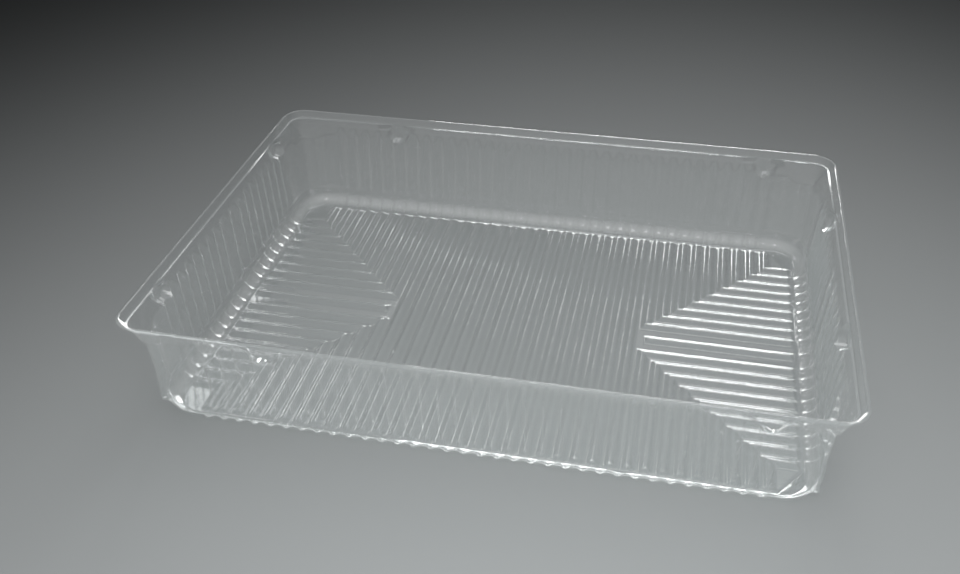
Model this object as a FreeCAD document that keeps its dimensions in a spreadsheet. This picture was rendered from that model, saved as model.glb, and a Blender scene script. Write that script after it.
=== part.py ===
import FreeCAD, Part
import Sketcher
import math
import os

# A clear thermoformed food tray: one sheet of film drawn over a corrugated mould.
# The tray is the outside form with the inside form taken out of it.  Both forms are the
# same stack of tapered plugs, and the outside one is grown by the thickness of the film.
# Units are millimetres, +Z is up, and the origin is the middle of the resting face.

SIZES = [
    ("tray_length", 210.0, "overall length over the cut edge"),
    ("tray_width", 148.0, "overall width over the cut edge"),
    ("tray_height", 38.0, "overall height"),
    ("film", 0.4, "thickness of the film"),
    ("edge_turn", 0.5, "how far the cut edge turns out beyond the lip"),
    ("lip_rise", 2.4, "height of the lip above the shelf"),
    ("lip_lean", 1.2, "how far the lip leans out over that height"),
    ("shelf", 0.45, "width of the narrow shelf inside the lip"),
    ("shelf_corner", 5.0, "plan radius of the shelf corner"),
    ("band_drop", 2.2, "height of the flared band under the shelf"),
    ("band_run", 1.5, "how far the flared band steps in"),
    ("wall_draft", 3.4, "draft of the walls in degrees"),
    ("column_corner", 11.5, "plan radius of the corner column at the foot"),
    ("foot_radius", 4.5, "radius between the walls and the floor"),
    ("pocket_side", 13.0, "length of the corner pocket along each shelf"),
    ("pocket_drop", 7.2, "depth of the pocket tip below the shelf"),
    ("pocket_run", 3.75, "how far the pocket tip steps in from each shelf"),
    ("pitch_long", 5.0, "rib spacing along the length"),
    ("pitch_wide", 5.4, "rib spacing across the width"),
    ("middle_gap", 7.67, "spacing of the middle rib and its neighbours"),
    ("corner_clear", 12.0, "smooth wall kept beside each corner"),
    ("rib_half", 1.55, "half width of a rib at its base"),
    ("rib_crest", 0.95, "radius of the crest of a rib"),
    ("wall_rib", 1.4, "height of the wall ribs"),
    ("floor_rib", 1.5, "height of the floor ribs"),
    ("floor_margin", 5.2, "smooth floor between the rib ends and the walls"),
    ("rib_start", 6.9, "height at which the wall ribs begin"),
    ("end_slope", 55.0, "slope of the rib ends in degrees"),
    ("lug_half", 4.5, "half width of a denesting lug"),
    ("lug_drop", 6.2, "depth of a lug below the shelf"),
    ("lug_near", 46.0, "place of the left lug on the long walls, from the left end"),
    ("lug_far", 24.3, "place of the right lug on the long walls, from the right end"),
    ("lug_left", 26.0, "place of the lugs on the left wall, from each of its ends"),
    ("lug_back", 38.5, "place of the back lug on the right wall, from the back"),
    ("lug_front", 43.5, "place of the front lug on the right wall, from the front"),
]

doc = FreeCAD.newDocument("thermoformed_tray")
sheet = doc.addObject("Spreadsheet::Sheet", "sizes")
for row, (alias, value, note) in enumerate(SIZES, start=1):
    sheet.set(f"A{row}", alias)
    sheet.set(f"B{row}", str(value))
    sheet.setAlias(f"B{row}", alias)
    sheet.set(f"C{row}", note)
doc.recompute()


def size(alias):
    """One driving size, read from the sheet."""
    return float(getattr(sheet, alias))


# ---------------------------------------------------------------- levels and insets
# Expressions for the cavity side of the film.  An inset is measured from the cut edge.

LIP_INSET = "sizes.edge_turn + sizes.film"
LIP_FOOT_INSET = f"{LIP_INSET} + sizes.lip_lean"
SHELF_INSET = f"{LIP_FOOT_INSET} + sizes.shelf"
BAND_INSET = f"{SHELF_INSET} + sizes.band_run"
SHELF_LEVEL = "(sizes.tray_height - sizes.lip_rise)"
BAND_LEVEL = f"({SHELF_LEVEL} - sizes.band_drop)"
WALL_STEP = f"tan(sizes.wall_draft * 1 deg) * ({BAND_LEVEL} - sizes.film)"
FOOT_INSET = f"{BAND_INSET} + {WALL_STEP}"

draft = math.tan(math.radians(size("wall_draft")))
shelf_level = size("tray_height") - size("lip_rise")
band_level = shelf_level - size("band_drop")
lip_foot_inset = size("edge_turn") + size("film") + size("lip_lean")
shelf_inset = lip_foot_inset + size("shelf")
foot_inset = shelf_inset + size("band_run") + draft * (band_level - size("film"))
foot_x = size("tray_length") / 2 - foot_inset
foot_y = size("tray_width") / 2 - foot_inset


# ---------------------------------------------------------------- smooth forms


def rounded_rectangle(body, name, level, inset, radius, grow):
    """A constrained sketch: a centred rounded rectangle at one level of the tray."""
    sketch = body.newObject("Sketcher::SketchObject", name)
    planes = [item for item in body.Origin.OriginFeatures if item.Role == "XY_Plane"]
    sketch.AttachmentSupport = [(planes[0], "")]
    sketch.MapMode = "FlatFace"
    sketch.setExpression("AttachmentOffset.Base.z", level)
    far_x, far_y, bend = 100.0, 70.0, 6.0
    up = FreeCAD.Vector(0, 0, 1)
    corners = [
        FreeCAD.Vector(far_x, -far_y, 0),
        FreeCAD.Vector(far_x, far_y, 0),
        FreeCAD.Vector(-far_x, far_y, 0),
        FreeCAD.Vector(-far_x, -far_y, 0),
    ]
    for turn, corner in enumerate(corners):
        before = corners[turn - 1]
        along = (corner - before).normalize() * bend
        inward = FreeCAD.Vector(-along.y, along.x, 0)
        centre = corner - along + inward
        sketch.addGeometry(Part.LineSegment(before + along, corner - along))
        circle = Part.Circle(centre, up, bend)
        quarter = math.pi / 2
        sketch.addGeometry(Part.ArcOfCircle(circle, (turn - 1) * quarter, turn * quarter))
    for item in range(8):
        sketch.addConstraint(Sketcher.Constraint("Tangent", item, 2, (item + 1) % 8, 1))
    for line, way in ((0, "Horizontal"), (2, "Vertical"), (4, "Horizontal"), (6, "Vertical")):
        sketch.addConstraint(Sketcher.Constraint(way, line))
    for arc in (3, 5, 7):
        sketch.addConstraint(Sketcher.Constraint("Equal", 1, arc))
    sketch.addConstraint(Sketcher.Constraint("Symmetric", 1, 3, 5, 3, -1, 1))
    driven = (
        ("corner", Sketcher.Constraint("Radius", 1, bend), f"{radius} + {grow}"),
        (
            "half_length",
            Sketcher.Constraint("DistanceX", -1, 1, 2, 1, far_x),
            f"sizes.tray_length / 2 - ({inset}) + {grow}",
        ),
        (
            "half_width",
            Sketcher.Constraint("DistanceY", -1, 1, 4, 1, far_y),
            f"sizes.tray_width / 2 - ({inset}) + {grow}",
        ),
    )
    for label, constraint, expression in driven:
        index = sketch.addConstraint(constraint)
        sketch.renameConstraint(index, label)
        sketch.setExpression(f"Constraints.{label}", expression)
    doc.recompute()
    return sketch


def tapered_pad(body, name, outline, length, taper, downward=False):
    """A pad whose sides lean; a plus taper widens it on its way."""
    pad = body.newObject("PartDesign::Pad", name)
    pad.Profile = outline
    pad.Reversed = downward
    pad.setExpression("Length", length)
    pad.setExpression("TaperAngle", taper)
    doc.recompute()
    return pad


def wall_form(side, grow):
    """The tapered box with its rounded foot, up to the middle of the flared band."""
    body = doc.addObject("PartDesign::Body", f"{side}_wall_form")
    floor_level = f"sizes.film - {grow}"
    radius = "sizes.column_corner"
    foot = rounded_rectangle(body, f"{side}_foot", floor_level, FOOT_INSET, radius, grow)
    tall = f"{SHELF_LEVEL} - sizes.band_drop / 2 - ({floor_level})"
    pad = tapered_pad(body, f"{side}_walls", foot, tall, "sizes.wall_draft * 1 deg")
    level = foot.Placement.Base.z
    rim = []
    for index, edge in enumerate(pad.Shape.Edges, start=1):
        box = edge.BoundBox
        if abs(box.ZMin - level) < 0.01 and abs(box.ZMax - level) < 0.01:
            rim.append(f"Edge{index}")
    fillet = body.newObject("PartDesign::Fillet", f"{side}_foot_radius")
    fillet.Base = (pad, rim)
    fillet.setExpression("Radius", f"sizes.foot_radius + {grow}")
    doc.recompute()
    return body


def rim_form(side, grow):
    """The flared band under the shelf, and the leaning lip above it."""
    body = doc.addObject("PartDesign::Body", f"{side}_rim_form")
    level = f"{SHELF_LEVEL} - {grow}"
    radius = "sizes.shelf_corner"
    shelf = rounded_rectangle(body, f"{side}_shelf", level, SHELF_INSET, radius, grow)
    flare = "-atan(sizes.band_run / sizes.band_drop)"
    tapered_pad(body, f"{side}_band", shelf, "2 * sizes.band_drop", flare, downward=True)
    radius = "sizes.shelf_corner + sizes.shelf"
    spread = f"{grow} * (1 - sizes.lip_lean / sizes.lip_rise)"
    lip = rounded_rectangle(body, f"{side}_lip_foot", level, LIP_FOOT_INSET, radius, spread)
    lean = "atan(sizes.lip_lean / sizes.lip_rise)"
    tapered_pad(body, f"{side}_lip", lip, f"sizes.lip_rise + {grow}", lean)
    return body


def cut_edge():
    """The narrow turned-out edge where the sheet was cut from its web."""
    body = doc.addObject("PartDesign::Body", "outside_cut_edge")
    level = "sizes.tray_height - sizes.film"
    radius = "sizes.shelf_corner + sizes.shelf + sizes.lip_lean + sizes.edge_turn + sizes.film"
    outline = rounded_rectangle(body, "cut_edge_outline", level, "0", radius, "0")
    tapered_pad(body, "cut_edge_band", outline, "sizes.film", "0 deg")
    return body


# ---------------------------------------------------------------- pressed details


def vec(x, y, z):
    return FreeCAD.Vector(x, y, z)


def lug_bar(grow, heading, place, reach):
    """A half-round bar that runs from the middle of the tray out to the foot of the lip."""
    half = size("lug_half") + grow
    length = reach / 2 - lip_foot_inset + grow
    centre = shelf_level - size("lug_drop") + size("lug_half")
    top = shelf_level + size("lip_rise") / 2
    left, right = place - half, place + half
    floor = Part.Arc(vec(0, left, centre), vec(0, place, centre - half), vec(0, right, centre))
    outline = Part.Wire([
        floor.toShape(),
        Part.makeLine(vec(0, right, centre), vec(0, right, top)),
        Part.makeLine(vec(0, right, top), vec(0, left, top)),
        Part.makeLine(vec(0, left, top), vec(0, left, centre)),
    ])
    bar = Part.Face(outline).extrude(vec(length, 0, 0))
    bar.rotate(vec(0, 0, 0), vec(0, 0, 1), heading)
    return bar


def lug_bars(grow):
    """Two lugs on every wall; the ends carry theirs at different places, so trays part."""
    length, width = size("tray_length"), size("tray_width")
    near = length / 2 - size("lug_near")
    far = length / 2 - size("lug_far")
    left = width / 2 - size("lug_left")
    rows = (
        (90, near, width),
        (90, -far, width),
        (-90, -near, width),
        (-90, far, width),
        (0, width / 2 - size("lug_back"), length),
        (0, size("lug_front") - width / 2, length),
        (180, left, length),
        (180, -left, length),
    )
    return [lug_bar(grow, heading, place, reach) for heading, place, reach in rows]


def corner_pocket(grow, way_x, way_y):
    """An upside-down pyramid pressed into a corner; its fold tapers from the shelf corner."""
    top = shelf_level - grow
    side = size("pocket_side")
    bend = size("shelf_corner") + grow
    far_x = size("tray_length") / 2 - shelf_inset + grow
    far_y = size("tray_width") / 2 - shelf_inset + grow
    tip = vec(far_x - size("pocket_run"), far_y - size("pocket_run"), shelf_level - size("pocket_drop"))
    tip.z -= grow
    middle = vec(far_x - bend, far_y - bend, top)
    half_way = middle + vec(1, 1, 0).normalize() * bend
    back_start = vec(far_x - side, far_y, top)
    back_end = vec(far_x - bend, far_y, top)
    side_start = vec(far_x, far_y - bend, top)
    side_end = vec(far_x, far_y - side, top)
    inner = vec(far_x - side, far_y - side, top)
    outline = Part.Wire([
        Part.makeLine(back_start, back_end),
        Part.Arc(back_end, half_way, side_start).toShape(),
        Part.makeLine(side_start, side_end),
        Part.makeLine(side_end, inner),
        Part.makeLine(inner, back_start),
    ])
    pocket = Part.makeLoft([Part.Vertex(tip), outline], True, True)
    if way_x < 0:
        pocket = pocket.mirror(vec(0, 0, 0), vec(1, 0, 0))
    if way_y < 0:
        pocket = pocket.mirror(vec(0, 0, 0), vec(0, 1, 0))
    return pocket


def rib_section(rise, grow):
    """The section of a rib as (across, height) points: two flanks and a faceted crest.

    The flanks touch the crest radius and meet the surface of the cavity at the half width.
    For the outside of the film the section is shrunk by the film, and the bottom of that
    narrow groove is one flat.  Both run on a little below the surface, to cut it cleanly.
    """
    half, crest = size("rib_half"), size("rib_crest")
    centre = rise - crest
    flank = math.atan2(centre, half) + math.asin(crest / math.hypot(half, centre))
    flats = 1 if grow > 0 else 3
    step = 2 * flank / (flats + 1)
    corner = (crest - grow) / math.cos(step / 2)
    points = []
    for index in range(flats + 1):
        lean = flank - step * (index + 0.5)
        points.append((corner * math.sin(lean), centre + corner * math.cos(lean)))
    below = -2 * size("film")
    top_x, top_height = points[0]
    foot = top_x + (top_height - below) / math.tan(flank)
    return [(foot, below)] + points + [(-foot, below)]


def faceted_bar(sections):
    """A solid with flat faces through a row of sections that have equal numbers of points."""
    faces = []
    for near, far in zip(sections, sections[1:]):
        for index in range(len(near)):
            after = (index + 1) % len(near)
            ring = [near[index], near[after], far[after], far[index], near[index]]
            faces.append(Part.Face(Part.makePolygon(ring)))
    for end in (sections[0], sections[-1]):
        faces.append(Part.Face(Part.makePolygon(end + end[:1])))
    solid = Part.makeSolid(Part.makeShell(faces))
    if solid.Volume < 0:
        solid.reverse()
    return solid


# ---------------------------------------------------------------- how many ribs fit

ribs_long = int((foot_x - size("corner_clear")) / size("pitch_long"))
ribs_wide = 1 + int((foot_y - size("corner_clear") - size("middle_gap")) / size("pitch_wide"))
ribs_wide = min(ribs_wide, ribs_long)


def rib_y(number):
    """Distance from the middle of the rib on the short walls; number 1 is the outermost."""
    return size("middle_gap") + (ribs_wide - number) * size("pitch_wide")


def rib_x(number):
    """Distance from the middle of the rib on the long walls; number 1 is the outermost."""
    return (ribs_long + 1 - number) * size("pitch_long")


end_slope = math.radians(size("end_slope"))


# ---------------------------------------------------------------- wall ribs


def wall_rib(grow, out, along, wall_half, place):
    """One upright rib: it follows the draft of its wall, and its lower end is sloped off."""
    lower, upper = [], []
    start = size("rib_start") + grow / math.sin(end_slope)
    for across, height in rib_section(size("wall_rib"), grow):
        for ring, level in ((lower, start + height / math.tan(end_slope)), (upper, shelf_level)):
            face = wall_half + draft * (level - size("film"))
            ring.append(along * (place + across) + out * (face - height) + vec(0, 0, level))
    return faceted_bar([lower, upper])


def wall_ribs(grow):
    """Every upright rib of the four walls."""
    places_long = [number * size("pitch_long") for number in range(-ribs_long, ribs_long + 1)]
    offsets = [rib_y(number) for number in range(1, ribs_wide + 1)]
    places_wide = [0.0] + offsets + [-offset for offset in offsets]
    bars = []
    for way in (1, -1):
        for place in places_long:
            bars.append(wall_rib(grow, vec(0, way, 0), vec(1, 0, 0), foot_y, place))
        for place in places_wide:
            bars.append(wall_rib(grow, vec(way, 0, 0), vec(0, 1, 0), foot_x, place))
    return bars


# ---------------------------------------------------------------- floor ribs


def floor_rib(grow, path):
    """One floor rib along a path of straight runs: sloped ends, and a mitre at each turn."""
    runs = [(path[index + 1] - path[index]).normalize() for index in range(len(path) - 1)]
    shrink = grow / math.sin(end_slope)
    sections = [[] for _ in path]
    for across, height in rib_section(size("floor_rib"), grow):
        lift = vec(0, 0, size("film") + height)
        slope = shrink + height / math.tan(end_slope)
        for index, point in enumerate(path):
            before = runs[max(index - 1, 0)]
            after = runs[min(index, len(runs) - 1)]
            side = vec(-before.y - after.y, before.x + after.x, 0) * (across / (1 + before.dot(after)))
            back = slope * ((index == 0) - (index == len(path) - 1))
            sections[index].append(point + side + after * back + lift)
    return faceted_bar(sections)


def floor_ribs(grow):
    """The envelope pattern: mitred ribs round each corner, and ribs across the middle."""
    end_x = foot_x - size("floor_margin")
    end_y = foot_y - size("floor_margin")
    bars = []
    for way_x in (1, -1):
        for way_y in (1, -1):
            for number in range(1, ribs_wide + 1):
                turn = vec(way_x * rib_x(number), way_y * rib_y(number), 0)
                from_end = vec(way_x * end_x, turn.y, 0)
                to_side = vec(turn.x, way_y * end_y, 0)
                bars.append(floor_rib(grow, [from_end, turn, to_side]))
        middle = vec(way_x * rib_x(ribs_wide), 0, 0)
        bars.append(floor_rib(grow, [vec(way_x * end_x, 0, 0), middle]))
    across = ribs_long - ribs_wide
    for number in range(-across, across + 1):
        place = number * size("pitch_long")
        bars.append(floor_rib(grow, [vec(place, -end_y, 0), vec(place, end_y, 0)]))
    return bars


# ---------------------------------------------------------------- assembly of the forms


def feature(name, shape):
    item = doc.addObject("Part::Feature", name)
    item.Shape = shape
    return item


def form(side, grow_text, grow):
    """One side of the film: ribbed walls and floor, rim, corner pockets and lugs."""
    walls = wall_form(side, grow_text)
    rim = rim_form(side, grow_text)
    ribs = feature(f"{side}_ribs", Part.makeCompound(wall_ribs(grow) + floor_ribs(grow)))
    ribbed = doc.addObject("Part::Cut", f"{side}_ribbed")
    ribbed.Base = walls
    ribbed.Tool = ribs
    bars = lug_bars(grow)
    pockets = [corner_pocket(grow, way_x, way_y) for way_x in (1, -1) for way_y in (1, -1)]
    pressed = feature(f"{side}_pressed", bars[0].multiFuse(bars[1:] + pockets))
    whole = doc.addObject("Part::MultiFuse", f"{side}_form")
    whole.Shapes = [ribbed, rim, pressed]
    doc.recompute()
    return whole


inside = form("inside", "0", 0.0)
outside = form("outside", "sizes.film", size("film"))
edge = cut_edge()
blank = doc.addObject("Part::MultiFuse", "outside_with_edge")
blank.Shapes = [outside, edge]
tray = doc.addObject("Part::Cut", "tray")
tray.Base = blank
tray.Tool = inside
tray.Label = "tray"
tray.Placement = FreeCAD.Placement()
doc.recompute()

# ---------------------------------------------------------------- checks and export

for item in doc.Objects:
    bad = [state for state in item.State if state in ("Invalid", "Error")]
    if bad:
        raise RuntimeError(f"{item.Name} did not build: {bad}")
if tray.Shape.isNull() or not tray.Shape.isValid():
    raise RuntimeError("the tray is not a valid solid")
if len(tray.Shape.Solids) != 1:
    raise RuntimeError(f"the tray came out as {len(tray.Shape.Solids)} solids")

os.makedirs("parts", exist_ok=True)
tray.Shape.exportStep("parts/tray.step")
box = tray.Shape.BoundBox
print(f"tray {box.XLength:.2f} x {box.YLength:.2f} x {box.ZLength:.2f} mm")
print(f"volume {tray.Shape.Volume:.1f} mm3, faces {len(tray.Shape.Faces)}")
print(f"ribs: {2 * ribs_long + 1} along each long wall, {2 * ribs_wide + 1} on each short wall")
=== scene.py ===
# %% [markdown]
# # A clear thermoformed food tray
# The object is one sheet of clear polyester, warmed and drawn over a corrugated mould.  It has a
# ribbed floor, fluted walls, a pressed pocket in each corner, stacking lugs and a leaning lip.
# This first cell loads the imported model.  It gives the size of the tray, and every piece made
# below has to fit inside it.

# %% Load the frame
import math

import bpy
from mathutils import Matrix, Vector


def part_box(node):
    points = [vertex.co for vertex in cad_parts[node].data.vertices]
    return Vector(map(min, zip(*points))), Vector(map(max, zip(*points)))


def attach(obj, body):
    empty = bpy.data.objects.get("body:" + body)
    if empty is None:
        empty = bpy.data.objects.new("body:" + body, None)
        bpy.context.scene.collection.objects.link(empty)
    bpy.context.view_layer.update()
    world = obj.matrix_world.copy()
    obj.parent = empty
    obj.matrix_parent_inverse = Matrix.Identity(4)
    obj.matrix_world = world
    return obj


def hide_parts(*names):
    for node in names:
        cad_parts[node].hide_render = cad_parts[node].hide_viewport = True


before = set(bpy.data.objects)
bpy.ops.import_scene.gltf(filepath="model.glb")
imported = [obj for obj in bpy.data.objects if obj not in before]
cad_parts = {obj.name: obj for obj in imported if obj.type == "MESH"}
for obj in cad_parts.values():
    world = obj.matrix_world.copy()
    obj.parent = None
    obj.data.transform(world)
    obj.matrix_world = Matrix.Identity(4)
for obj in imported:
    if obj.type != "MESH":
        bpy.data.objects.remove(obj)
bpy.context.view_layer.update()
MM = 0.001
tray_low, tray_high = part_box("tray")
length, width, height = ((tray_high - tray_low) / MM)[:]
print(f"tray in the frame: {length:.1f} x {width:.1f} x {height:.1f} mm")

# %% [markdown]
# ## Sizes of the mould
# The sheet follows the mould, so the sizes are those of the mould, in millimetres.  An inset is
# measured inwards from the cut edge, and a level is measured up from the table.  From the table
# up, the side of the tray is a rounded foot, a leaning wall, a flared band, a narrow shelf and a
# lip that leans outwards and ends in a cut edge.

# %% Sizes of the side
film = 0.4
foot_radius = 4.5
wall_lean = math.tan(math.radians(3.4))
band_drop = 2.2
band_run = 1.2
shelf = 0.75
shelf_corner = 5.0
lip_rise = 2.4
lip_lean = 1.2
edge_turn = 0.5

shelf_level = height - lip_rise
band_level = shelf_level - band_drop
lip_inset = edge_turn + film
lip_foot_inset = lip_inset + lip_lean
shelf_inset = lip_foot_inset + shelf
band_inset = shelf_inset + band_run
foot_inset = band_inset + wall_lean * (band_level - film)
foot_x = length / 2 - foot_inset
foot_y = width / 2 - foot_inset
print(f"foot of the walls at {foot_x:.2f} and {foot_y:.2f} mm from the middle")

# %% Sizes and places of the ribs
pitch_long = 5.0
pitch_wide = 5.4
middle_gap = 7.67
ribs_long = 17
ribs_wide = 9
rib_edge = 2.4
wall_rib = 1.4
floor_rib = 1.0
rib_start = 6.9
rib_end_slope = math.tan(math.radians(55))
floor_margin = 5.2
end_x = foot_x - floor_margin
end_y = foot_y - floor_margin

places_long = [number * pitch_long for number in range(-ribs_long, ribs_long + 1)]
half_wide = [middle_gap + step * pitch_wide for step in range(ribs_wide)]
places_wide = [-place for place in reversed(half_wide)] + [0.0] + half_wide
print(f"{len(places_long)} ribs on each long wall, {len(places_wide)} on each short one")

# %% [markdown]
# ## Where the columns stand
# The walls are built like a fence: columns stand side by side all the way round, and each one
# is a line that runs from the floor up to the cut edge.  Close columns are needed only where a
# rib is, so every column has a kind.  An "all" column runs the full height, a "rib" column
# shapes a rib, and a "lug" column is added where a stacking lug is pressed into the rim.  Round
# a corner the columns fan out from one point.

# %% Columns across a rib and across a lug


def both_sides_of(offsets):
    """Distances from nought upwards, mirrored to both sides of nought."""
    return [-offset for offset in offsets[:0:-1]] + offsets


rib_offsets = both_sides_of([0.0, 0.45, 0.9, 1.4, 1.9, rib_edge])

lug_half = 4.5
lug_drop = 6.2
lug_centre_level = shelf_level - lug_drop + lug_half
# A lug is built on columns a step apart, left out where a rib's column is nearer than the gap.
lug_step = 0.3
lug_steps = 17
lug_margin = 1.2
least_gap = 0.22
lugs = {
    "right": [-30.5, 35.5],
    "back": [-59.0, 80.7],
    "left": [-48.0, 48.0],
    "front": [-59.0, 80.7],
}
print(f"{len(rib_offsets)} columns to a rib, {sum(map(len, lugs.values()))} lugs")

# %% Columns of one wall and of one corner
corner_turns = 22
far = 99.0  # farther away than anything on the tray


def wall_columns(name, origin, along, out, places, reach):
    """Columns of one straight wall, in the order of a walk round the tray."""
    kinds = {-reach: "all", reach: "all"}
    for place in places:
        for offset in rib_offsets:
            kinds[round(place + offset, 4)] = "all" if abs(offset) == rib_edge else "rib"
    for lug in lugs[name]:
        fine = [place for place in kinds if abs(place - lug) < lug_half + lug_margin]
        for step in range(-lug_steps, lug_steps + 1):
            place = round(lug + step * lug_step, 4)
            if min(abs(place - other) for other in fine) > least_gap:
                fine.append(place)
                kinds[place] = "lug"
    columns = []
    for place in sorted(kinds):
        centre = min(places, key=lambda rib: abs(rib - place))
        columns.append(
            {
                "start": origin + along * place,
                "out": out,
                "kind": kinds[place],
                "across": 0.0 if abs(place) > places[-1] else abs(place - centre),
                "lug": min(abs(place - lug) for lug in lugs[name]),
                "turn": 0.0,
                "past": reach - abs(place),
            }
        )
    return columns


def corner_columns(corner, along, out):
    """Columns that fan out round one corner."""
    columns = []
    for step in range(1, corner_turns):
        turn = math.radians(90 * step / corner_turns)
        columns.append(
            {
                "start": corner,
                "out": out * math.cos(turn) + along * math.sin(turn),
                "kind": "all",
                "across": 0.0,
                "lug": far,
                "turn": turn,
                "past": 0.0,
            }
        )
    return columns


# %% Columns all the way round
column_corner = 11.5
column_inset = foot_inset + column_corner
reach_long = length / 2 - column_inset
reach_wide = width / 2 - column_inset
X, Y, Z = Vector((1, 0, 0)), Vector((0, 1, 0)), Vector((0, 0, 1))
sides = [
    ("right", X * reach_long, Y, X, places_wide, reach_wide),
    ("back", Y * reach_wide, -X, Y, places_long, reach_long),
    ("left", -X * reach_long, -Y, -X, places_wide, reach_wide),
    ("front", -Y * reach_wide, X, -Y, places_long, reach_long),
]
columns = []
for name, origin, along, out, places, reach in sides:
    # The places of the lugs are measured along X or Y, and on two sides the walk goes against it.
    if along.x < 0 or along.y < 0:
        lugs[name] = [-place for place in lugs[name]]
    columns += wall_columns(name, origin, along, out, places, reach)
    columns += corner_columns(origin + along * reach, along, out)
full_height = sum(column["kind"] == "all" for column in columns)
print(f"{len(columns)} columns, {full_height} of them full height")

# %% [markdown]
# ## How far out the mould reaches
# At each level the mould is the outermost of a few plain shapes: the leaning wall, the flared
# band with the shelf and lip above it, and the pocket pressed into the corner.  Taking the
# largest reach joins them, and a soft maximum rounds the line where two of them meet, as the
# drawn sheet does.

# %% Reach of the rim and of the corner pockets
pocket_side = 13.0
pocket_drop = 7.2
pocket_run = 3.75
rim_offset = column_inset - shelf_inset - shelf_corner


def soft_max(one, other, blend):
    """The larger of two values, with the change from one to the other rounded."""
    share = max(blend - abs(one - other), 0.0) / blend
    return max(one, other) + share * share * blend / 4


def ray_reach(column, face, centre, radius, begin=-far):
    """Distance along a column's outward line to a rounded corner, seen from the corner column."""
    cosine, sine = math.cos(column["turn"]), math.sin(column["turn"])
    if column["turn"] == 0.0:
        along, reach = -column["past"], face
    else:
        reach = face / max(cosine, sine)
        along = min(cosine, sine) * reach
        if along > centre:
            reach = centre * (cosine + sine)
            reach += math.sqrt(max(radius**2 - (centre * (cosine - sine)) ** 2, 0.0))
            return reach
    return reach if along >= begin else -far


def rim_reach(column, inset):
    return ray_reach(column, column_inset - inset, rim_offset, column_inset - rim_offset - inset)


def pocket_reach(column, level):
    """How far out a corner pocket is; it grows from a point to its full width at the shelf."""
    grown = (level - shelf_level + pocket_drop) / pocket_drop
    if grown <= 0:
        return -far
    face = column_inset - shelf_inset - pocket_run * (1 - grown)
    tip = column_inset - shelf_inset - pocket_run
    centre = tip + (rim_offset - tip) * grown
    begin = tip + (column_inset - shelf_inset - pocket_side - tip) * grown
    return ray_reach(column, face, centre, shelf_corner * grown, begin)


print(f"pockets run {pocket_side} mm along each wall and {pocket_drop} mm down")

# %% Reach of the whole wall
lug_overlap = 0.15
lug_edge = 0.9
least_corner = 0.1
pocket_blend = 0.25
band_blend = 0.3
band_overlap = 1.0
shelf_rise = 0.01
free_room = 3.0  # more than any rib rises


def lug_share(column, level):
    """1 inside a lug, 0 outside it, with a rounded step between."""
    low = min(level - lug_centre_level, 0.0)
    depth = (lug_half + lug_overlap - math.hypot(column["lug"], low)) / lug_edge
    share = min(max(depth, 0.0), 1.0)
    return share * share * (3 - 2 * share)


def wall_point(column, level, inset=None):
    """A point of the cavity side of the sheet, with how high a rib may stand there."""
    wall = column_inset - foot_inset + wall_lean * (level - film)
    if inset is None:
        inset = shelf_inset + band_run * (shelf_level - level) / band_drop
    upper = rim_reach(column, min(inset, shelf_inset + shelf_corner - least_corner))
    if level < shelf_level:
        pocket = pocket_reach(column, level)
        if pocket > 0:
            upper = soft_max(upper, pocket, pocket_blend)
    reach = soft_max(wall, upper, band_blend) if level < band_level + band_overlap else upper
    share = lug_share(column, level) if level <= shelf_level + shelf_rise else 0.0
    reach += share * (column_inset - lip_foot_inset - reach)
    room = min((level - rib_start) * rib_end_slope, max(wall - upper, 0.0))
    room = min(room, free_room * (1 - 2 * share))
    return column["start"] + column["out"] * reach + Z * level, room


print(f"lugs are {2 * lug_half} mm wide and {lug_drop} mm deep")

# %% [markdown]
# ## The sheet, before the ribs
# The sheet is a list of rows from the floor up: the rounded foot, the wall, the band, the shelf,
# the lip and the turned-out edge.  A row that passes through the ribs takes every rib column,
# and a plain row takes only the full-height ones.  Rows stand close together where a shape
# begins or ends: where the ribs slope out of the wall, and where lugs and pockets are pressed.

# %% Rows of the sheet
foot_bend = math.pi / 2 - math.atan(wall_lean)
foot_tangent = foot_radius * math.tan(foot_bend / 2)
foot_steps = 7
rib_levels = (5.9, 6.65, 6.95, 7.25, 7.55, 7.9, 8.4, 9.2, 17.0, 28.2)
top_start = 29.0
top_step = 0.585
top_steps = 9
band_levels = (34.1, 34.6, 35.1, 35.35, 35.52)
edge_drop = 0.28

rows = []
for step in range(foot_steps + 1):
    bend = foot_bend * step / foot_steps
    inset = foot_inset + foot_tangent - foot_radius * math.sin(bend)
    level = film + foot_radius * (1 - math.cos(bend))
    rows.append(("rib" if step else "plain", inset, level))
rows += [("rib", None, level) for level in rib_levels]
rows += [("top", None, top_start + step * top_step) for step in range(top_steps)]
rows += [("rim", None, level) for level in band_levels]
# The rim from the inside out: the shelf, the rounded foot of the lip, the lip itself, and its
# edge, which is rounded and turned out and a little down.
rows += [
    ("rim", shelf_inset, shelf_level),
    ("rim", shelf_inset - 0.15, shelf_level),
    ("rim", lip_foot_inset + 0.12, shelf_level + shelf_rise),
    ("rim", lip_foot_inset - 0.02, shelf_level + 0.12),
    ("plain", lip_foot_inset - lip_lean * 0.2, shelf_level + lip_rise * 0.2),
    ("plain", lip_inset + 0.2, height - 0.4),
    ("plain", lip_inset + 0.08, height - 0.16),
    ("plain", lip_inset - 0.05, height - 0.03),
    ("plain", lip_inset - 0.22, height),
    ("plain", 0.0, height - edge_drop),
]
kinds_in_row = {
    "plain": ("all",),
    "rib": ("all", "rib"),
    "top": ("all", "rib", "lug"),
    "rim": ("all", "lug"),
}
print(f"{len(rows)} rows, the lowest at {rows[0][2]:.1f} mm and the highest at {height:.1f} mm")

# %% [markdown]
# ### Points and faces
# Each point remembers five things besides its place: how far it is from the middle of its rib,
# how much room a rib has there, how high a rib is, which way the mould presses, and how far the
# film was drawn.  They become attributes of the mesh, and the ribs are made from them.

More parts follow.
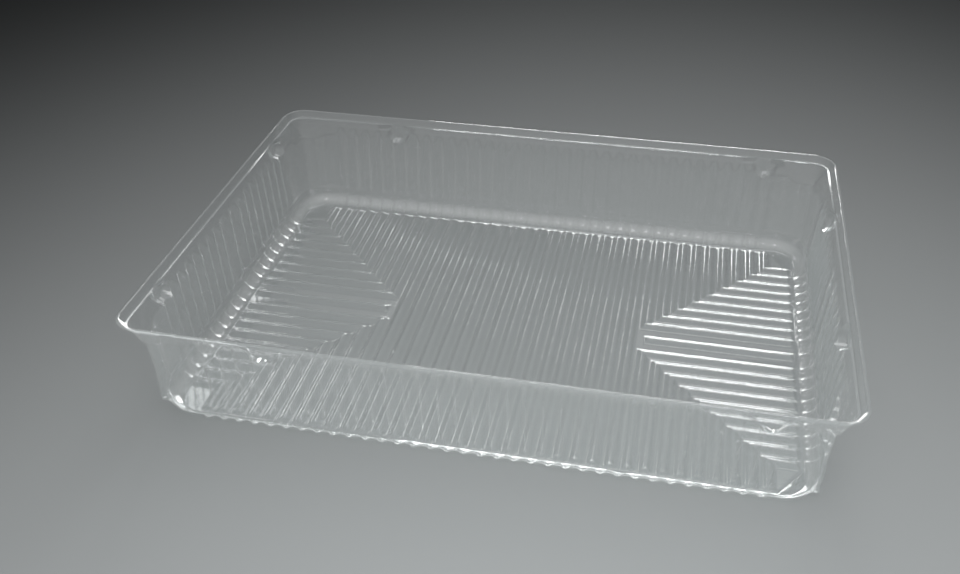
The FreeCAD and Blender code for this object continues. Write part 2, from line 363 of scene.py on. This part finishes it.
# %% A sheet of points and faces


class Sheet:
    """Points and faces of the sheet; a point asked for twice is the same point."""

    def __init__(self):
        self.index, self.faces = {}, []
        self.points, self.press = [], []
        self.across, self.room, self.rise, self.drawn = [], [], [], []

    def point(self, place, across, room, rise=wall_rib, press=Z, drawn=0.0):
        key = tuple(round(value, 3) for value in place)
        if key not in self.index:
            self.index[key] = len(self.points)
            self.points.append(place * MM)
            self.across.append(across)
            self.room.append(room)
            self.rise.append(rise)
            self.drawn.append(drawn)
            self.press.append(press)
        return self.index[key]

    def face(self, corners):
        kept = [one for one, after in zip(corners, corners[1:] + corners[:1]) if one != after]
        if len(kept) > 2:
            self.faces.append(kept)

    def flat_face(self, corners):
        """A face of the floor, turned so that it looks up whichever way it was listed."""
        places = [self.points[number] for number in corners]
        turned = sum(a.x * b.y - b.x * a.y for a, b in zip(places, places[1:] + places[:1]))
        self.face(corners if turned > 0 else corners[::-1])


sheet = Sheet()
print("a sheet with no points yet")

# %% [markdown]
# ### Foot and walls
# Round the foot the ribs show through as a row of low beads, pressed square to the bend and
# highest halfway round it, where the film is drawn most.  Then each row is joined to the next.
# Where the rows have different columns, one face takes in all the points between two columns
# that both rows share.

# %% Foot and walls
bead_height = 0.6


def foot_point(column, inset, level):
    """A point of the rounded foot, the room for a bead, its press, and how far it is drawn."""
    share = math.acos(1 - (level - film) / foot_radius) / foot_bend
    bend = share * foot_bend
    place = column["start"] + column["out"] * (column_inset - inset) + Z * level
    press = Z * math.cos(bend) - column["out"] * math.sin(bend)
    drawn = max(math.sin(math.pi * share), 0.0)
    return place, bead_height * math.sqrt(drawn), press, drawn


grid = []
for kind, inset, level in rows:
    line = {}
    for number, column in enumerate(columns):
        if column["kind"] not in kinds_in_row[kind]:
            continue
        if level < film + foot_radius:
            place, room, press, drawn = foot_point(column, inset, level)
        else:
            place, room = wall_point(column, level, inset)
            press, drawn = -column["out"], 0.0
        line[number] = sheet.point(place, column["across"], room, wall_rib, press, drawn)
    grid.append(line)

for lower, upper in zip(grid, grid[1:]):
    shared = [number for number in lower if number in upper]
    for start, end in zip(shared, shared[1:] + shared[:1]):
        if end < start:
            end += len(columns)
        span = [number % len(columns) for number in range(start, end + 1)]
        below = [lower[number] for number in span if number in lower]
        above = [upper[number] for number in span if number in upper]
        sheet.face(below[::-1] + above)
print(f"walls: {len(sheet.points)} points, {len(sheet.faces)} faces")

# %% [markdown]
# ## The floor
# The floor ribs form an envelope.  Each rib beside an end runs in from the short wall, turns
# square at a mitre and runs out to the long wall, and the middle of the floor is crossed by
# straight ribs.  So the floor is cut into strips that follow the ribs and bend at the mitre.
# A line along a rib has close points at its sloped end and beside the mitre.

# %% Lines of the floor
wall_foot = foot_tangent - floor_margin
end_rows = [-0.4, 0.0, 0.3, 0.6, 0.9, 1.2, 1.8]
mitre_rows = [1.2, 0.5]
clear_of_ends = 9.0  # far enough for a rib to reach its full height


def floor_point(x, y, across, from_end=clear_of_ends):
    """A point of the floor; a rib may stand there as high as its sloped end allows."""
    return sheet.point(Vector((x, y, film)), abs(across), from_end * rib_end_slope, floor_rib)


def leg(x, y, way_x, way_y, across):
    """The end of a rib line, from the wall inwards; the lines between ribs reach the wall."""
    steps = ([wall_foot] if abs(across) == rib_edge else []) + end_rows
    return [floor_point(x - way_x * step, y - way_y * step, across, step) for step in steps]


def bent_line(way_x, way_y, number, across):
    """One line of a mitred rib: in from the long wall, round the mitre, out to the short wall."""
    x = pitch_long * (ribs_long + 1 - number) + across
    y = middle_gap + (ribs_wide - number) * pitch_wide + across
    line = leg(way_x * x, way_y * end_y, 0, way_y, across)
    line += [floor_point(way_x * x, way_y * (y + step), across) for step in mitre_rows]
    line.append(floor_point(way_x * x, way_y * y, across))
    line += [floor_point(way_x * (x + step), way_y * y, across) for step in mitre_rows[::-1]]
    return line + leg(way_x * end_x, way_y * y, way_x, 0, across)[::-1]


def straight_line(number, across):
    """One line of a rib that crosses the whole floor, from front to back."""
    x = number * pitch_long + across
    return leg(x, -end_y, 0, -1, across) + leg(x, end_y, 0, 1, across)[::-1]


def middle_line(way_x, across):
    """One line of the short rib on the centre line, from its tip out to the end wall."""
    x = pitch_long * (ribs_long + 1 - ribs_wide)
    tip = [floor_point(way_x * (x + step), across, across, step) for step in end_rows]
    return tip + leg(way_x * end_x, across, way_x, 0, across)[::-1]


print(f"floor lines end {-wall_foot:.2f} mm past the ends of the ribs")

# %% [markdown]
# ### Strips between the lines
# Two lines side by side are joined by a strip of four-sided faces.  Only the lines between the
# ribs reach the wall, so the small flat in front of each rib end is one face more.

# %% Strips


def strip(one, other):
    """Faces between two lines; a line that reaches the wall gives up its ends to match."""
    if len(one) > len(other):
        one = one[len(one) - len(other) - 1 : -1]
    elif len(other) > len(one):
        other = other[len(other) - len(one) - 1 : -1]
    for index in range(len(one) - 1):
        sheet.flat_face([one[index], one[index + 1], other[index + 1], other[index]])


def rib_strips(lines, ends):
    """All the faces of one rib, and the flat face between each rib end and the wall."""
    for one, other in zip(lines, lines[1:]):
        strip(one, other)
    for end, inner in ends:
        row = [lines[0][inner]] + [line[end] for line in lines[1:-1]] + [lines[-1][inner]]
        sheet.flat_face([lines[0][end]] + row + [lines[-1][end]])


both_ends = ((0, 1), (-1, -2))
corners_of_floor = [(way_x, way_y) for way_x in (1, -1) for way_y in (1, -1)]
foot_line = list(grid[0].values())
touching = 1e-6
print(f"the floor meets the foot at {len(foot_line)} points")

# %% [markdown]
# ### Laying the ribs
# The mitred ribs are laid from the corner inwards, then the straight ribs.  Two plain shapes are
# left over: the flat in each corner, and the flat round the tip of the short middle rib.
#
# One corner has a known fault.  The walk round the foot starts on the right wall, within reach
# of the front right corner, so there two points of the foot come before the rest instead of
# after them.  The outline of that flat crosses itself, Blender counts the face as not valid, and
# an export leaves it out, which leaves a hole.  The mend is a list that starts between corners.

# %% Mitred ribs
for way_x, way_y in corners_of_floor:
    last = bent_line(way_x, way_y, 1, rib_edge)
    corner = [
        number
        for number in foot_line
        if sheet.points[number].x * way_x >= sheet.points[last[0]].x * way_x - touching
        and sheet.points[number].y * way_y >= sheet.points[last[-1]].y * way_y - touching
    ]
    sheet.flat_face(last + (corner if corner[0] == last[-1] else corner[::-1]))
    for number in range(1, ribs_wide + 1):
        lines = [bent_line(way_x, way_y, number, across) for across in rib_offsets]
        rib_strips(lines, both_ends)
        if number > 1:
            strip(last, lines[-1])
        last = lines[0]
print(f"mitred ribs: {len(corners_of_floor) * ribs_wide}")

# %% Straight ribs and middle ribs
last_across = ribs_long - ribs_wide
for number in range(-last_across, last_across + 1):
    lines = [straight_line(number, across) for across in rib_offsets]
    rib_strips(lines, both_ends)
    if number > -last_across:
        strip(last, lines[0])
    last = lines[-1]

for way_x in (1, -1):
    lines = [middle_line(way_x, across) for across in rib_offsets]
    rib_strips(lines, both_ends[1:])
    around = straight_line(way_x * last_across, way_x * rib_edge)
    around += bent_line(way_x, 1, ribs_wide, -rib_edge) + lines[-1][::-1]
    around += [line[0] for line in lines[-2:0:-1]]
    around += lines[0] + bent_line(way_x, -1, ribs_wide, -rib_edge)[::-1]
    sheet.flat_face(around)
print(f"sheet with floor: {len(sheet.points)} points, {len(sheet.faces)} faces")

# %% [markdown]
# ## Colours and nodes
# Colours are written as sRGB hex, as on a colour card, and Blender wants them linear.  One small
# function adds any node: its settings are set first, and then each input is given a value or a
# link.

# %% Helpers for colours and nodes


def colour(code):
    """Linear colour from an sRGB hex code."""
    parts = [int(code[place : place + 2], 16) / 255 for place in (1, 3, 5)]
    linear = [
        part / 12.92 if part <= 0.04045 else ((part + 0.055) / 1.055) ** 2.4 for part in parts
    ]
    return (*linear, 1.0)


def add_node(tree, kind, inputs=None, **settings):
    """A new node with its settings; an input is given a value, or a socket to link from."""
    node = tree.nodes.new(kind)
    for name, value in settings.items():
        setattr(node, name, value)
    for name, value in (inputs or {}).items():
        if isinstance(value, bpy.types.NodeSocket):
            tree.links.new(value, node.inputs[name])
        else:
            node.inputs[name].default_value = value
    return node


def new_material(name):
    material = bpy.data.materials.new(name)
    material.use_nodes = True
    material.node_tree.nodes.clear()
    return material, material.node_tree


print(f"a mid grey, #808080, is {colour('#808080')[0]:.3f} in linear light")

# %% [markdown]
# ## The film
# The sheet is thermoformed clear polyester.  It is clear all through, so it is seen only by its
# gloss: it mirrors the lamps along every rib, more strongly where it is seen edge on.  The film
# is so thin that it hardly bends what lies behind it, so a see-through shader is mixed with a
# glossy one by Fresnel.  That keeps the light that falls through it clean as well.
#
# The mould leaves a faint orange-peel all over: waves about 6 mm across and a few thousandths of
# a millimetre high.  Round the foot, where the film was drawn most, the gloss is a little duller.

# %% Surface of the film
peel_waves_per_metre = 180.0
peel_height = 0.4 * MM
peel_strength = 0.012
plain_roughness = 0.06
drawn_roughness = 0.1

film_material, tree = new_material("thermoformed clear polyester film")
place = add_node(tree, "ShaderNodeTexCoord").outputs["Object"]
drawn = add_node(tree, "ShaderNodeAttribute", attribute_name="drawn").outputs["Fac"]
peel = add_node(
    tree,
    "ShaderNodeTexNoise",
    {"Vector": place, "Scale": peel_waves_per_metre, "Detail": 2.0, "Roughness": 0.45},
)
peeled = add_node(
    tree,
    "ShaderNodeBump",
    {"Height": peel.outputs["Fac"], "Strength": peel_strength, "Distance": peel_height},
)
rough = add_node(
    tree,
    "ShaderNodeMath",
    {0: drawn, 1: drawn_roughness, 2: plain_roughness},
    operation="MULTIPLY_ADD",
)
gloss = add_node(
    tree,
    "ShaderNodeBsdfGlossy",
    {
        "Color": colour("#ffffff"),
        "Roughness": rough.outputs[0],
        "Normal": peeled.outputs["Normal"],
    },
)
print("surface of the film: orange-peel and gloss")

# %% [markdown]
# ### How much the film mirrors
# Light is mirrored at both faces of the film, and back and forth between them.  If one face
# mirrors a share F, the whole film mirrors 2F / (1 + F).  The closed skin is crossed twice, so
# this is counted where a ray enters and not where it leaves.

# %% How much the film mirrors
polyester_ior = 1.57
fresnel = add_node(
    tree, "ShaderNodeFresnel", {"IOR": polyester_ior, "Normal": peeled.outputs["Normal"]}
)
one_face = fresnel.outputs["Fac"]
twice = add_node(tree, "ShaderNodeMath", {0: one_face, 1: 2.0}, operation="MULTIPLY")
more = add_node(tree, "ShaderNodeMath", {0: one_face, 1: 1.0}, operation="ADD")
both_faces = add_node(
    tree, "ShaderNodeMath", {0: twice.outputs[0], 1: more.outputs[0]}, operation="DIVIDE"
)
leaving = add_node(tree, "ShaderNodeNewGeometry").outputs["Backfacing"]
entering = add_node(tree, "ShaderNodeMath", {0: 1.0, 1: leaving}, operation="SUBTRACT")
mirrored = add_node(
    tree,
    "ShaderNodeMath",
    {0: both_faces.outputs[0], 1: entering.outputs[0]},
    operation="MULTIPLY",
)
print("the film mirrors 2F / (1 + F)")

# %% [markdown]
# ### Haze
# The little light that is not let through cleanly is scattered, half of it forwards and half of
# it back.  There is more of it edge on, where the way through the film is longer, and more where
# the film was drawn.

# %% Haze and body of the film
plain_haze = 0.065
edge_haze = 0.18
edge_power = 3.0
drawn_haze = 0.17

edge_on = add_node(tree, "ShaderNodeLayerWeight", {"Blend": 0.5}).outputs["Facing"]
steep = add_node(tree, "ShaderNodeMath", {0: edge_on, 1: edge_power}, operation="POWER")
undrawn = add_node(
    tree,
    "ShaderNodeMath",
    {0: steep.outputs[0], 1: edge_haze, 2: plain_haze},
    operation="MULTIPLY_ADD",
)
haze = add_node(
    tree,
    "ShaderNodeMath",
    {0: drawn, 1: drawn_haze, 2: undrawn.outputs[0]},
    operation="MULTIPLY_ADD",
)
forwards = add_node(tree, "ShaderNodeBsdfTranslucent", {"Color": colour("#f4f5f4")})
backwards = add_node(tree, "ShaderNodeBsdfDiffuse", {"Color": colour("#f4f5f4")})
milky = add_node(
    tree, "ShaderNodeMixShader", {0: 0.5, 1: forwards.outputs[0], 2: backwards.outputs[0]}
)
clear = add_node(tree, "ShaderNodeBsdfTransparent", {"Color": colour("#fafbfb")})
body = add_node(
    tree, "ShaderNodeMixShader", {0: haze.outputs[0], 1: clear.outputs[0], 2: milky.outputs[0]}
)
surface = add_node(
    tree, "ShaderNodeMixShader", {0: mirrored.outputs[0], 1: body.outputs[0], 2: gloss.outputs[0]}
)
add_node(tree, "ShaderNodeOutputMaterial", {"Surface": surface.outputs[0]})
print(f"film material: {len(tree.nodes)} nodes")

# %% [markdown]
# ## Pressing the ribs
# Every rib has one section: a smooth wave, high in the middle and level at both feet, because
# warm film never lies tight in the corners of the mould.  Instead of drawing each rib, a Geometry
# Nodes tree presses them all into the plain sheet.  Its two inputs are the half width of a rib
# and how softly a rib's end is rounded.  The other numbers come from the points themselves.

# %% A tree with named inputs
rib_sizes = {"Half width": rib_edge, "End rounding": 0.5}

press_ribs = bpy.data.node_groups.new("press ribs", "GeometryNodeTree")
press_ribs.interface.new_socket("Geometry", in_out="OUTPUT", socket_type="NodeSocketGeometry")
press_ribs.interface.new_socket("Geometry", in_out="INPUT", socket_type="NodeSocketGeometry")
inputs = {}
for name, value in rib_sizes.items():
    inputs[name] = press_ribs.interface.new_socket(
        name, in_out="INPUT", socket_type="NodeSocketFloat"
    )
    inputs[name].default_value = value
given = add_node(press_ribs, "NodeGroupInput").outputs
known = {name: given[name] for name in rib_sizes}
for name in ("across", "room", "rise", "press"):
    kind = "FLOAT_VECTOR" if name == "press" else "FLOAT"
    node = add_node(
        press_ribs, "GeometryNodeInputNamedAttribute", {"Name": name}, data_type=kind
    )
    known[name] = node.outputs["Attribute"]
print("the tree knows: " + ", ".join(known))

# %% [markdown]
# ### How far a point is pressed
# The tree works out how high the wave is at a point, and takes the lower of that and the room at
# the rib's sloped end.  The arithmetic is a table: each step has a name, an operation, and the
# names or numbers it works on.

# %% Arithmetic of one rib
steps = [
    ("inside", "MINIMUM", "across", "Half width"),
    ("share of half", "DIVIDE", "inside", "Half width"),
    ("angle", "MULTIPLY", "share of half", math.pi),
    ("wave", "COSINE", "angle"),
    ("half rise", "MULTIPLY", "rise", 0.5),
    ("section", "MULTIPLY_ADD", "wave", "half rise", "half rise"),
    ("room at the end", "SMOOTH_MAX", "room", 0.0, "End rounding"),
    ("rounded", "SMOOTH_MIN", "section", "room at the end", "End rounding"),
    ("above the sheet", "MAXIMUM", "rounded", 0.0),
    ("metres", "MULTIPLY", "above the sheet", MM),
]
for name, operation, *values in steps:
    sockets = {place: known.get(value, value) for place, value in enumerate(values)}
    node = add_node(press_ribs, "ShaderNodeMath", sockets, operation=operation)
    known[name] = node.outputs[0]
print(f"{len(steps)} steps from the attributes to a height")

# %% Move the points
offset = add_node(
    press_ribs,
    "ShaderNodeVectorMath",
    {0: known["press"], "Scale": known["metres"]},
    operation="SCALE",
)
moved = add_node(
    press_ribs,
    "GeometryNodeSetPosition",
    {"Geometry": given["Geometry"], "Offset": offset.outputs[0]},
)
realized = add_node(press_ribs, "GeometryNodeRealizeInstances", {"Geometry": moved.outputs[0]})
finished = add_node(
    press_ribs,
    "GeometryNodeSetMaterial",
    {"Geometry": realized.outputs[0], "Material": film_material},
)
add_node(press_ribs, "NodeGroupOutput", {"Geometry": finished.outputs[0]})
print(f"the tree that presses the ribs has {len(press_ribs.nodes)} nodes")

# %% [markdown]
# ## From sheet to film
# The mesh so far is the side of the film that faces the food.  Solidify gives it its thickness,
# away from the food, and the result is turned into a plain mesh: one skin, closed all over but
# for the faulty flat in the front right corner.

# %% Make the film
blank = bpy.data.meshes.new("tray blank")
blank.from_pydata(sheet.points, [], sheet.faces)
for name in ("across", "room", "rise", "drawn"):
    values = getattr(sheet, name)
    blank.attributes.new(name, "FLOAT", "POINT").data.foreach_set("value", values)
flat_press = [value for press in sheet.press for value in press]
blank.attributes.new("press", "FLOAT_VECTOR", "POINT").data.foreach_set("vector", flat_press)
blank_object = bpy.data.objects.new("tray blank", blank)
bpy.context.scene.collection.objects.link(blank_object)

ribs = blank_object.modifiers.new("press ribs", "NODES")
ribs.node_group = press_ribs
for name, value in rib_sizes.items():
    ribs[inputs[name].identifier] = value
thicken = blank_object.modifiers.new("thickness", "SOLIDIFY")
thicken.thickness = film * MM
thicken.offset = -1.0
thicken.use_even_offset = True
thicken.use_quality_normals = True

evaluated = blank_object.evaluated_get(bpy.context.evaluated_depsgraph_get())
film_mesh = bpy.data.meshes.new_from_object(evaluated)
bpy.data.objects.remove(blank_object)
for name in ("across", "room", "rise", "press"):
    film_mesh.attributes.remove(film_mesh.attributes[name])
print(f"film: {len(film_mesh.vertices)} points, {len(film_mesh.polygons)} faces")

# %% [markdown]
# ### Shading
# The film is shaded smooth, and an edge stays sharp only where its faces turn by more than 36
# degrees, as at the cut edge.  Weighted normals let the larger face decide where two meet, so a
# flat place beside a narrow bend mirrors as a flat place.

# %% Shade the film
sharp_from = math.radians(36)
film_mesh.name = "tray_film"
film_mesh.shade_smooth()
film_mesh.set_sharp_from_angle(angle=sharp_from)
tray_film = bpy.data.objects.new("tray_film", film_mesh)
bpy.context.scene.collection.objects.link(tray_film)
even = tray_film.modifiers.new("flat places shade flat", "WEIGHTED_NORMAL")
even.mode = "FACE_AREA"
even.keep_sharp = True
evaluated = tray_film.evaluated_get(bpy.context.evaluated_depsgraph_get())
film_mesh = bpy.data.meshes.new_from_object(evaluated)
tray_film.modifiers.clear()
tray_film.data = film_mesh
triangles = sum(len(face.vertices) - 2 for face in film_mesh.polygons)
print(f"film: {len(film_mesh.vertices)} points, {triangles} triangles")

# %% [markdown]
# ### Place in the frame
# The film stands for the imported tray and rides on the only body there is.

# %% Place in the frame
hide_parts("tray")
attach(tray_film, "root")
print("the film stands for the packed tray")

# %% [markdown]
# ## The card
# The tray stands on a plain sheet of grey card: pressed paper, matt, with no gloss at all.  Its
# colour carries a painted pool of light: palest in front of the tray, falling off to painted
# shade, a dark grey, on all sides.  The fall is a bell curve: the distance from the palest point
# is squared and put in an exponential.

# %% Card
# Centre and fall of the painted pool of light on the card.
painted_light_centre = (0.054, -0.284, 0.0)
painted_falloff_per_metre = (3.6, 2.45, 0.0)
card_half = 3

card_material, tree = new_material("matt grey card, painted pool of light")
place = add_node(tree, "ShaderNodeTexCoord").outputs["Object"]
from_palest = add_node(
    tree, "ShaderNodeVectorMath", {0: place, 1: painted_light_centre}, operation="SUBTRACT"
)
fall = add_node(
    tree,
    "ShaderNodeVectorMath",
    {0: from_palest.outputs[0], 1: painted_falloff_per_metre},
    operation="MULTIPLY",
)
squared = add_node(
    tree, "ShaderNodeVectorMath", {0: fall.outputs[0], 1: fall.outputs[0]}, operation="DOT_PRODUCT"
)
falling = add_node(
    tree, "ShaderNodeMath", {0: squared.outputs["Value"], 1: -1.0}, operation="MULTIPLY"
)
pale = add_node(tree, "ShaderNodeMath", {0: falling.outputs[0]}, operation="EXPONENT")
# The card's colour is painted light: pale grey in the painted pool in front of the tray, dark grey
# painted shade round it.
shade = add_node(
    tree,
    "ShaderNodeMix",
    {"Factor": pale.outputs[0], 6: colour("#141515"), 7: colour("#dadddd")},
    data_type="RGBA",
)
matt = add_node(tree, "ShaderNodeBsdfDiffuse", {"Color": shade.outputs[2], "Roughness": 0.5})
add_node(tree, "ShaderNodeOutputMaterial", {"Surface": matt.outputs[0]})

card = bpy.data.meshes.new("card")
square = [(-1, -1), (1, -1), (1, 1), (-1, 1)]
card.from_pydata([(x * card_half, y * card_half, 0) for x, y in square], [], [(0, 1, 2, 3)])
card.materials.append(card_material)
card_object = bpy.data.objects.new("card", card)
bpy.context.scene.collection.objects.link(card_object)
print(f"card {2 * card_half} m square, material of {len(tree.nodes)} nodes")

# %% [markdown]
# ## The lamps
# Clear film shows only what it mirrors, so the lamps matter.  A wide soft lamp stands low behind
# the tray and another hangs over it: each rib that runs from side to side carries a bright line
# for both of them.  A thin lamp between the two gives a line of small glints across the middle,
# and a small one on the left reaches the end wall.  A narrow one in front, high up, is mirrored
# by the bend at the foot of the back wall, where it makes the beads shine.

# %% Lamps
lamp_distance = 1.3
lamps = {
    "lamp behind": (-1.5, 17.5, 0.62, 0.50, 10.5),
    "lamp above": (5, 60, 0.60, 0.50, 1.6),
    "thin lamp": (-9, 35, 0.45, 0.014, 0.15),
    "lamp on the left": (-38, 36.5, 0.26, 0.18, 0.6),
    "lamp in front": (180, 62, 0.14, 0.34, 0.55),
}


def soft_lamp(name, azimuth, elevation, wide, tall, power):
    """A soft lamp that looks at the tray; azimuth is turned from straight behind to the right."""
    turn, rise = math.radians(azimuth), math.radians(elevation)
    direction = Vector(
        (math.sin(turn) * math.cos(rise), math.cos(turn) * math.cos(rise), math.sin(rise))
    )
    lamp = bpy.data.lights.new(name, "AREA")
    lamp.shape = "RECTANGLE"
    lamp.size, lamp.size_y = wide, tall
    lamp.energy = power
    lamp_object = bpy.data.objects.new(name, lamp)
    lamp_object.location = direction * lamp_distance
    lamp_object.rotation_euler = direction.to_track_quat("Z", "Y").to_euler()
    bpy.context.scene.collection.objects.link(lamp_object)


for name, settings in lamps.items():
    soft_lamp(name, *settings)
print(f"{len(lamps)} soft lamps, {lamp_distance} m from the tray")

# %% [markdown]
# ## The room
# The room all round is pale for the light it gives.  What is seen of it, straight or mirrored in
# the film, is a dark wall low down and a lighter ceiling.

# %% Room
room_strength = 0.65
ceiling_from = 0.9

world = bpy.data.worlds.new("studio")
world.use_nodes = True
tree = world.node_tree
tree.nodes.clear()
rays = add_node(tree, "ShaderNodeLightPath").outputs
seen = add_node(
    tree,
    "ShaderNodeMath",
    {0: rays["Is Camera Ray"], 1: rays["Is Glossy Ray"]},
    operation="MAXIMUM",
)
seen = add_node(
    tree,
    "ShaderNodeMath",
    {0: seen.outputs[0], 1: rays["Is Transmission Ray"]},
    operation="MAXIMUM",
)
direction = add_node(tree, "ShaderNodeTexCoord").outputs["Generated"]
upward = add_node(tree, "ShaderNodeSeparateXYZ", {"Vector": direction}).outputs["Z"]
ceiling = add_node(
    tree, "ShaderNodeMapRange", {"Value": upward, "From Min": 0.0, "From Max": ceiling_from}
)
seen_colour = add_node(
    tree,
    "ShaderNodeMix",
    {"Factor": ceiling.outputs[0], 6: colour("#4c4f50"), 7: colour("#e4e7e8")},
    data_type="RGBA",
)
light = add_node(
    tree, "ShaderNodeBackground", {"Color": colour("#eef0f1"), "Strength": room_strength}
)
sight = add_node(tree, "ShaderNodeBackground", {"Color": seen_colour.outputs[2], "Strength": 1.0})
both = add_node(
    tree, "ShaderNodeMixShader", {0: seen.outputs[0], 1: light.outputs[0], 2: sight.outputs[0]}
)
add_node(tree, "ShaderNodeOutputWorld", {"Surface": both.outputs[0]})
bpy.context.scene.world = world
print("a pale room, seen as a dark wall and a lighter ceiling")

# %% [markdown]
# ## The camera
# The camera looks down into the tray from the front, turned a little to the left.  Film lies
# behind film here, so a ray is let through many clear faces before it is given up.

# %% Camera
camera = bpy.data.cameras.new("camera")
camera.lens = 38.84
camera.sensor_width = 36.0
camera.clip_start = 0.01
camera_object = bpy.data.objects.new("camera", camera)
camera_object.location = (0.04991, -0.28155, 0.21541)
camera_object.rotation_mode = "XYZ"
camera_object.rotation_euler = (0.96132, 0.00721, 0.21034)
bpy.context.scene.collection.objects.link(camera_object)
bpy.context.scene.camera = camera_object
bpy.context.scene.view_settings.view_transform = "Standard"
bpy.context.scene.cycles.transparent_max_bounces = 48
print(f"camera {camera_object.location.length:.3f} m from the middle of the tray's foot")
